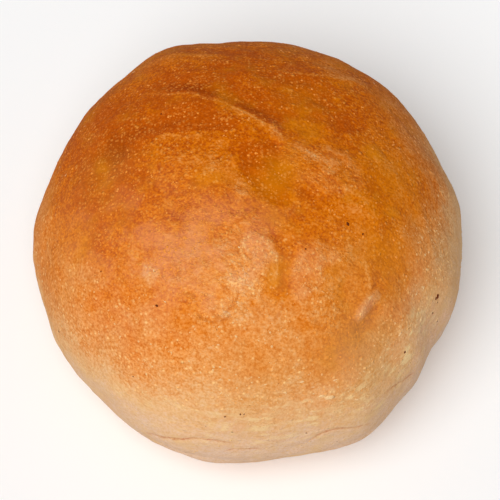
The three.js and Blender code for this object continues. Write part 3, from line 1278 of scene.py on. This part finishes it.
def crust_finish(colours):
    """Baked crust: the skin with the tiny blisters and grains, glints and pale lines that are painted
    highlights, creases darkened by painted shade, floury streaks and char specks on it. It is glossy
    and finely flaked where the mesh says so."""
    finish = Finish("baked_crust")
    on = crust_pattern(finish)
    gloss = finish.attribute("gloss")
    colour = baked_colour(finish, colours, on)
    # Painted highlight colour of glints and pale lines.
    glint = finish.mix(
        finish.step(on.browned, *GLINTS_BROWN), opaque(colours.glint), opaque(colours.skin_glint)
    )
    line = lined_share(finish, on)
    layered = finish.place(stretch=(3, 3, 1))
    streaks = finish.step(finish.noise(layered, 1.2 * MM, detail=4, roughness=0.65), 0.48, 0.6)
    floury = streaks * finish.attribute("floury") * (1 - finish.step(on.browned, *FLOUR_GOES))
    for share, shade in (
        (on.paler * finish.step(on.browned, *GRAINS_COME), skin_colour(finish, colours, on.browned)),
        # Glints, painted highlights.
        (on.glints * 0.95, glint),
        # Painted shade in creases, then painted highlights along pale lines.
        (line.over(0) * line, opaque(colours.crease_shade)),
        ((0 - line).over(0) * (0 - line), glint),
        (floury * (0.3 + 0.7 * on.gathered), opaque(colours.flour)),
        (finish.spots(on.plain, *CHAR_SPOTS) * 0.8, opaque(colours.bran)),
    ):
        colour = finish.mix(share, colour, shade)
    relief = None
    for height, depth in (
        (on.mottle, 0.25 * MM),
        (on.flakes * (0.4 + 0.6 * on.flaked), 0.28 * MM),
        (on.grain, 0.08 * MM),
        (on.crinkles, 0.05 * MM),
        (on.raised, 0.12 * MM),
    ):
        relief = finish.bump(height, depth, relief)
    dry = finish.step(on.browned, *CHAR_COMES) * (1 - gloss) * 0.12
    return finish.surface(
        Base_Color=colour,
        Roughness=0.76 - gloss * 0.36 - (on.mottle - 0.5) * 0.35 - on.paler * 0.15 + dry,
        Specular_IOR_Level=0.45,
        Specular_Tint=opaque(colours.sheen),
        Normal=relief,
    )


def blister_finish(colours):
    """The thin dry skin of a blister, browner where noise says so, and wheaten on the pale flank."""
    finish = Finish("blister_skin")
    plain = finish.place()
    mottle = finish.noise(plain, 1.6 * MM, detail=2)
    grain = finish.noise(plain, 0.2 * MM, detail=1)
    browned = finish.attribute("browning")
    colour = skin_colour(finish, colours, browned)
    colour = finish.mix(finish.step(mottle, 0.35, 0.75) * 0.7, colour, opaque(colours.golden))
    colour = finish.mix(finish.step(browned, *SCATTERED_COME), opaque(colours.wheaten), colour)
    return finish.surface(
        Base_Color=colour,
        Roughness=0.5 + grain * 0.2,
        Specular_IOR_Level=0.2,
        Specular_Tint=opaque(colours.sheen),
        Normal=finish.bump(grain, 0.03 * MM),
    )


def flour_finish(colours):
    """Dry flour baked onto the crust: cream, with browner grain."""
    finish = Finish("baked_flour")
    grain = finish.noise(finish.place(), 0.3 * MM, detail=2)
    colour = finish.mix(finish.step(grain, 0.3, 0.6), opaque(colours.flour), opaque(colours.straw))
    return finish.surface(
        Base_Color=colour,
        Roughness=0.75 + grain * 0.15,
        Specular_IOR_Level=0.2,
        Normal=finish.bump(grain, 0.06 * MM),
    )


def bran_finish(colours):
    """Charred bran: dark brown, with redder grain."""
    finish = Finish("charred_bran")
    grain = finish.noise(finish.place(), 0.25 * MM, detail=2)
    colour = finish.mix(finish.step(grain, 0.45, 0.8) * 0.35, opaque(colours.bran), opaque(colours.deep))
    return finish.surface(
        Base_Color=colour,
        Roughness=0.7 + grain * 0.2,
        Specular_IOR_Level=0.06,
        Normal=finish.bump(grain, 0.05 * MM),
    )


def floor_finish(studio):
    """A plain pale matte floor."""
    finish = Finish("pale_floor")
    return finish.surface(Base_Color=opaque(studio.floor), Roughness=0.8, Specular_IOR_Level=0.1)


# Operators

CRUST_CELLS = 128  # along each edge of the blown-up cube


def dress(piece, material):
    """Gives a piece its material and its body."""
    piece.data.materials.append(material)
    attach(piece, "root")


class ROLL_OT_add_crust(bpy.types.Operator):
    """Make the baked crust, in place of the plain solid"""

    bl_idname = "roll.add_crust"
    bl_label = "Add Crust"

    def execute(self, context):
        sizes = context.scene.roll_sizes
        toward, quads = blown_cube(CRUST_CELLS)
        points, relief = crust_points(toward, sizes)
        crust = add_piece("crust", points, quads)
        add_attribute(crust, "browning", browning(toward, points, relief, quads))
        # The last of these is painted sheen.
        for name, places in (("gloss", GLOSSES), ("flaking", GLOSSES), ("bloom", PAINTED_SHEEN_PLACES)):
            strength = patch_sum(toward, name) + spread(toward, places)
            add_attribute(crust, name, np.clip(strength, 0, 1))
        # The second of these is partly painted shade.
        for name, places in (("tawny", TAWNIES), ("dun", DUN_AND_SHADE_PLACES), ("floury", FLOURINGS)):
            add_attribute(crust, name, spread(toward, places))
        for name, values in zip(("crease_side", "crease_tone"), crease_lines(wandered(toward))):
            add_attribute(crust, name, values)
        dress(crust, crust_finish(context.scene.crust_colours))
        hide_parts("bread_roll")
        return {"FINISHED"}


BLISTER_DRAWS = 3  # places drawn for each blister, of which the likeliest are kept
BLISTER_RISES = (-0.1, 1)  # cosines of the reaches between which blisters lie
BLISTER_GROUPS = 5.0  # mm, the size of the noise that gathers them
BLISTER_GATHERING = 1.5  # how much that noise counts, against chance
BLISTER_HALF_LENGTHS = (0.08, 0.34)  # mm, with a power that makes the long ones few
BLISTER_RARITY = 2.4
BLISTER_SLENDERNESS = (0.6, 1)  # width over length
BLISTER_FLATNESS = (0.25, 0.45)  # height over length
BLISTER_SINK = 0.3  # how deep its middle lies in the crust, over half its height


def few_long(random, lengths, rarity, count):
    """Lengths between two, drawn so that the long ones are few: an even draw raised to a power."""
    shortest, longest = lengths
    return shortest + (longest - shortest) * random.uniform(0, 1, count) ** rarity


class ROLL_OT_add_blisters(bpy.types.Operator):
    """Scatter the raised blisters over the browned part of the crust"""

    bl_idname = "roll.add_blisters"
    bl_label = "Add Blisters"

    def execute(self, context):
        sizes = context.scene.roll_sizes
        random = np.random.default_rng(5)
        count = BLISTER_DRAWS * sizes.blister_count
        bearing = random.uniform(0, 360, count)
        toward = directions(bearing, np.degrees(np.arccos(random.uniform(*BLISTER_RISES, count))))
        gathered = BLISTER_GATHERING * layered_noise(toward, [BLISTER_GROUPS], seed=51)
        kept = np.argsort(random.uniform(-1, 1, count) - gathered)[: sizes.blister_count]
        toward = toward[kept]
        length = few_long(random, BLISTER_HALF_LENGTHS, BLISTER_RARITY, len(toward)) * MM
        width = length * random.uniform(*BLISTER_SLENDERNESS, len(toward))
        height = length * random.uniform(*BLISTER_FLATNESS, len(toward))
        turn = random.uniform(0, 2 * math.pi, len(toward))
        blisters = scatter(
            "crust_blisters", toward, length, width, height, turn, BLISTER_SINK, sizes, seed=6
        )
        level = baking(crust_points(toward, sizes)[0]) + spread(toward, TONES)
        add_attribute(blisters, "browning", np.repeat(level, len(blisters.data.vertices) // len(level)))
        dress(blisters, blister_finish(context.scene.crust_colours))
        return {"FINISHED"}


FLOUR_REACHES = (62, 100)  # degrees, between which stray flour lies
FLOUR_LENGTHS = (0.3, 1.2)  # mm, with a power that makes the long ones few
FLOUR_RARITY = 2
FLOUR_SLENDERNESS = (0.25, 0.5)
FLOUR_THICKNESS = 0.35  # height over width
FLOUR_SINK = 0.35
FLOUR_SLANT = 0.4  # radians off level, as a standard deviation


class ROLL_OT_add_flour(bpy.types.Operator):
    """Lay the floury flecks on the flank and the dome"""

    bl_idname = "roll.add_flour"
    bl_label = "Add Flour"

    def execute(self, context):
        sizes = context.scene.roll_sizes
        random = np.random.default_rng(12)
        bearing, reach, length = np.array(FLOUR_FLECKS).T
        count = sizes.stray_flour_count
        bearing = np.concatenate([bearing, random.uniform(0, 360, count)])
        reach = np.concatenate([reach, random.uniform(*FLOUR_REACHES, count)])
        stray = few_long(random, FLOUR_LENGTHS, FLOUR_RARITY, count)
        length = np.concatenate([length, stray]) * MM / 2
        width = length * random.uniform(*FLOUR_SLENDERNESS, len(length))
        turn = random.normal(0, FLOUR_SLANT, len(length))
        toward = directions(bearing, reach)
        height = FLOUR_THICKNESS * width
        flour = scatter("flour_flecks", toward, length, width, height, turn, FLOUR_SINK, sizes, seed=13)
        dress(flour, flour_finish(context.scene.crust_colours))
        return {"FINISHED"}


BRAN_RISES = (-0.35, 0.95)  # cosines of the reaches between which stray bran lies
BRAN_LENGTHS = (0.15, 0.35)  # mm
BRAN_SLENDERNESS = (0.45, 0.8)
BRAN_THICKNESS = 0.4
BRAN_SINK = 0.2


class ROLL_OT_add_bran(bpy.types.Operator):
    """Set the bran and char specks on the crust"""

    bl_idname = "roll.add_bran"
    bl_label = "Add Bran"

    def execute(self, context):
        sizes = context.scene.roll_sizes
        random = np.random.default_rng(8)
        bearing, reach, length = np.array(BRAN_SPECKS).T
        count = sizes.stray_bran_count
        bearing = np.concatenate([bearing, random.uniform(0, 360, count)])
        reach = np.concatenate([reach, np.degrees(np.arccos(random.uniform(*BRAN_RISES, count)))])
        length = np.concatenate([length, random.uniform(*BRAN_LENGTHS, count)]) * MM / 2
        width = length * random.uniform(*BRAN_SLENDERNESS, len(length))
        toward = directions(bearing, reach)
        turn = random.uniform(0, 2 * math.pi, len(length))
        height = BRAN_THICKNESS * width
        bran = scatter("bran_specks", toward, length, width, height, turn, BRAN_SINK, sizes, seed=9)
        dress(bran, bran_finish(context.scene.crust_colours))
        return {"FINISHED"}


FLOOR_HALF_WIDTH = 3.0  # m
NEAREST_SEEN = 0.01  # m from the camera
VIEW_CENTRE = Vector((0.417, -0.658, 24.6)) * MM  # what the camera looks at
KEY_AZIMUTH = -27  # degrees, where -90 is the roll's left
KEY_ELEVATION = 60
KEY_SPREAD = 52  # degrees that the light's disc measures in the sky
SKY_COLOUR = 0.95  # what the camera sees past the floor


def outward(azimuth, elevation):
    """The direction from the roll to something at an azimuth and an elevation, both in radians.
    Azimuth 0 is in front of the roll, and a quarter turn more is on its right."""
    level = math.cos(elevation)
    return Vector((math.sin(azimuth) * level, -math.cos(azimuth) * level, math.sin(elevation)))


def add_camera(scene, studio):
    """A camera that looks down on the roll from its front."""
    camera = bpy.data.objects.new("camera", bpy.data.cameras.new("camera"))
    camera.data.lens = studio.lens
    away = outward(0, studio.camera_elevation)
    camera.location = VIEW_CENTRE + away * studio.camera_distance
    camera.rotation_euler = away.to_track_quat("Z", "Y").to_euler()
    camera.data.clip_start = NEAREST_SEEN
    scene.collection.objects.link(camera)
    scene.camera = camera


def add_key_light(scene, studio):
    """One broad light from the front left, nearly as high as the camera."""
    lamp = bpy.data.lights.new("key", "SUN")
    lamp.energy = studio.key_strength
    lamp.angle = math.radians(KEY_SPREAD)
    key = bpy.data.objects.new("key", lamp)
    away = outward(math.radians(KEY_AZIMUTH), math.radians(KEY_ELEVATION))
    key.location = away
    key.rotation_euler = away.to_track_quat("Z", "Y").to_euler()
    scene.collection.objects.link(key)


def add_fill_light(scene, studio):
    """A dim even light from all round, which no gloss mirrors. The camera sees a pale wall instead."""
    world = bpy.data.worlds.new("studio")
    scene.world = world
    world.cycles_visibility.glossy = False
    world.use_nodes = True
    nodes = world.node_tree.nodes
    links = world.node_tree.links
    nodes.clear()
    seen = nodes.new("ShaderNodeLightPath")
    dim = nodes.new("ShaderNodeBackground")
    dim.inputs["Strength"].default_value = studio.fill_strength
    wall = nodes.new("ShaderNodeBackground")
    wall.inputs["Color"].default_value = (SKY_COLOUR, SKY_COLOUR, SKY_COLOUR, 1)
    choice = nodes.new("ShaderNodeMixShader")
    ending = nodes.new("ShaderNodeOutputWorld")
    links.new(seen.outputs["Is Camera Ray"], choice.inputs[0])
    links.new(dim.outputs[0], choice.inputs[1])
    links.new(wall.outputs[0], choice.inputs[2])
    links.new(choice.outputs[0], ending.inputs["Surface"])


class ROLL_OT_add_studio(bpy.types.Operator):
    """Make the floor, the lights and the camera"""

    bl_idname = "roll.add_studio"
    bl_label = "Add Studio"

    def execute(self, context):
        scene = context.scene
        studio = scene.roll_studio
        corners = np.array([[-1, -1, 0], [1, -1, 0], [1, 1, 0], [-1, 1, 0]]) * FLOOR_HALF_WIDTH
        floor = add_piece("floor", corners, np.array([[0, 1, 2, 3]]))
        floor.data.materials.append(floor_finish(studio))
        floor.visible_glossy = False
        add_camera(scene, studio)
        add_key_light(scene, studio)
        add_fill_light(scene, studio)
        scene.view_settings.view_transform = "Standard"
        return {"FINISHED"}


class ROLL_PT_pieces(bpy.types.Panel):
    """The roll's sizes and colours, and a button for each piece"""

    bl_label = "Bread Roll"
    bl_idname = "ROLL_PT_pieces"
    bl_space_type = "VIEW_3D"
    bl_region_type = "UI"
    bl_category = "Bread Roll"

    def draw(self, context):
        scene = context.scene
        for group in (scene.roll_sizes, scene.crust_colours, scene.roll_studio):
            box = self.layout.box()
            for name in group.bl_rna.properties.keys():
                if name not in ("rna_type", "name"):
                    box.prop(group, name)
        for operator in OPERATORS:
            self.layout.operator(operator.bl_idname)


OPERATORS = (
    ROLL_OT_add_studio,
    ROLL_OT_add_crust,
    ROLL_OT_add_blisters,
    ROLL_OT_add_flour,
    ROLL_OT_add_bran,
)
CLASSES = (RollSizes, CrustColours, StudioSettings, *OPERATORS, ROLL_PT_pieces)


def register():
    for made in CLASSES:
        bpy.utils.register_class(made)
    bpy.types.Scene.roll_sizes = bpy.props.PointerProperty(type=RollSizes)
    bpy.types.Scene.crust_colours = bpy.props.PointerProperty(type=CrustColours)
    bpy.types.Scene.roll_studio = bpy.props.PointerProperty(type=StudioSettings)


def unregister():
    del bpy.types.Scene.roll_studio
    del bpy.types.Scene.crust_colours
    del bpy.types.Scene.roll_sizes
    for made in reversed(CLASSES):
        bpy.utils.unregister_class(made)


def main():
    """Makes every piece."""
    register()
    bpy.ops.roll.add_studio()
    bpy.ops.roll.add_crust()
    bpy.ops.roll.add_blisters()
    bpy.ops.roll.add_flour()
    bpy.ops.roll.add_bran()


if __name__ == "__main__":
    main()
